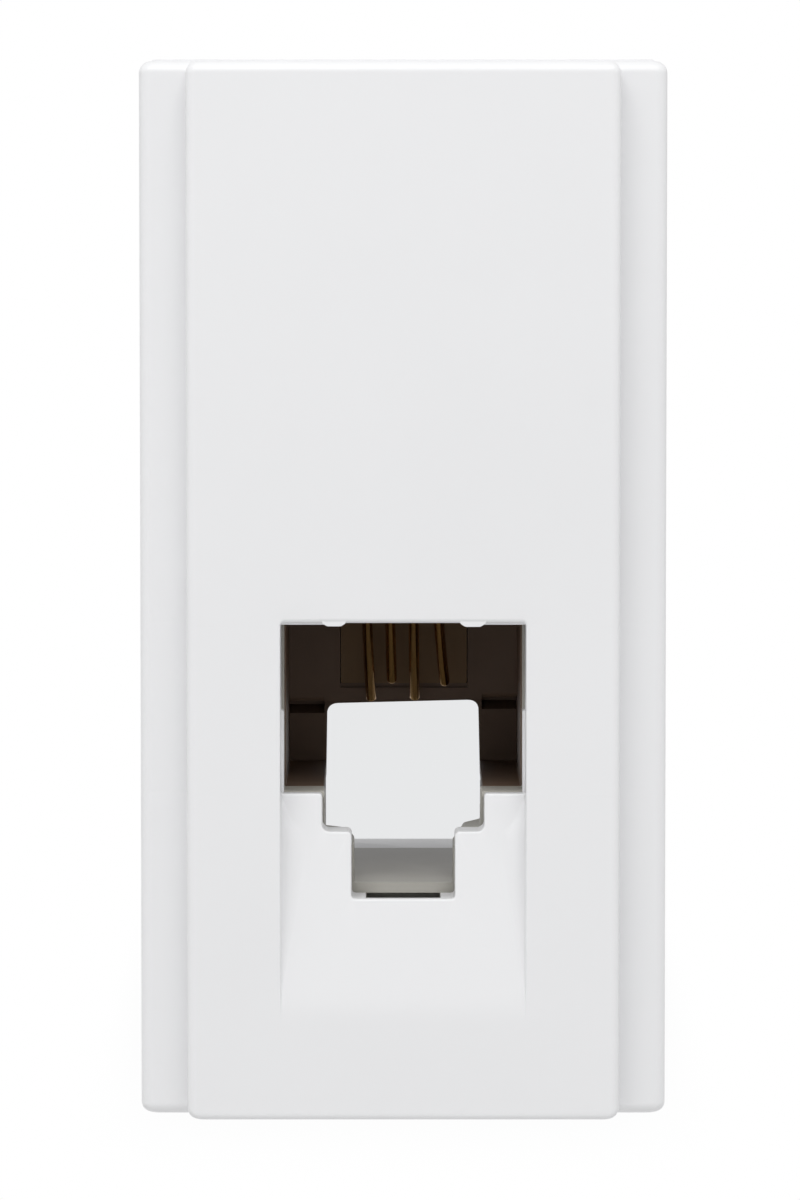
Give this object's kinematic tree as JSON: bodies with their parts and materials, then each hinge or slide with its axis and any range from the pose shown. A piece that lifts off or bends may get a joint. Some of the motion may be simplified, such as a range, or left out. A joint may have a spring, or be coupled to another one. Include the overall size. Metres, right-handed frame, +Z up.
{
  "type": "telephone wall socket",
  "caption": "Slim white telephone wall socket insert with side wings, a raised panel, a thumb ramp and a stepped modular plug opening.",
  "frame": {"origin": "centre of the cover's rear rim, the plane that seats on the mounting frame", "axes": "+X to the right seen from the front, +Y into the wall, +Z up"},
  "size_m": [0.0224, 0.0274, 0.045],
  "materials": {
    "white_gloss": "satin gloss moulded white",
    "white_matte": "fine matte moulded white",
    "pale_grey": "satin moulded pale grey",
    "dark_brown": "satin moulded dark brown",
    "brown": "satin moulded brown",
    "gold": "bright gold plating",
    "laminate": "solder mask over glass laminate",
    "grey": "fine matte moulded grey",
    "nickel": "nickel plate",
    "tinned": "tinned brass"
  },
  "bodies": {
    "root": {"front_cover": "white_gloss", "rear_housing": "white_matte", "jack_housing": "pale_grey", "contact_block": "dark_brown", "contact_carrier": "brown", "contact_wire_1": "gold", "contact_wire_2": "gold", "contact_wire_3": "gold", "contact_wire_4": "gold", "circuit_board": "laminate", "terminal_block": "grey", "terminal_cage_1": "tinned", "terminal_cage_2": "tinned", "terminal_cage_3": "tinned", "terminal_cage_4": "tinned", "terminal_pin_1": "tinned", "terminal_pin_2": "tinned", "terminal_pin_3": "tinned", "terminal_pin_4": "tinned", "terminal_screw_1": "nickel", "terminal_screw_2": "nickel", "terminal_screw_3": "nickel", "terminal_screw_4": "nickel"}
  },
  "joints": []
}
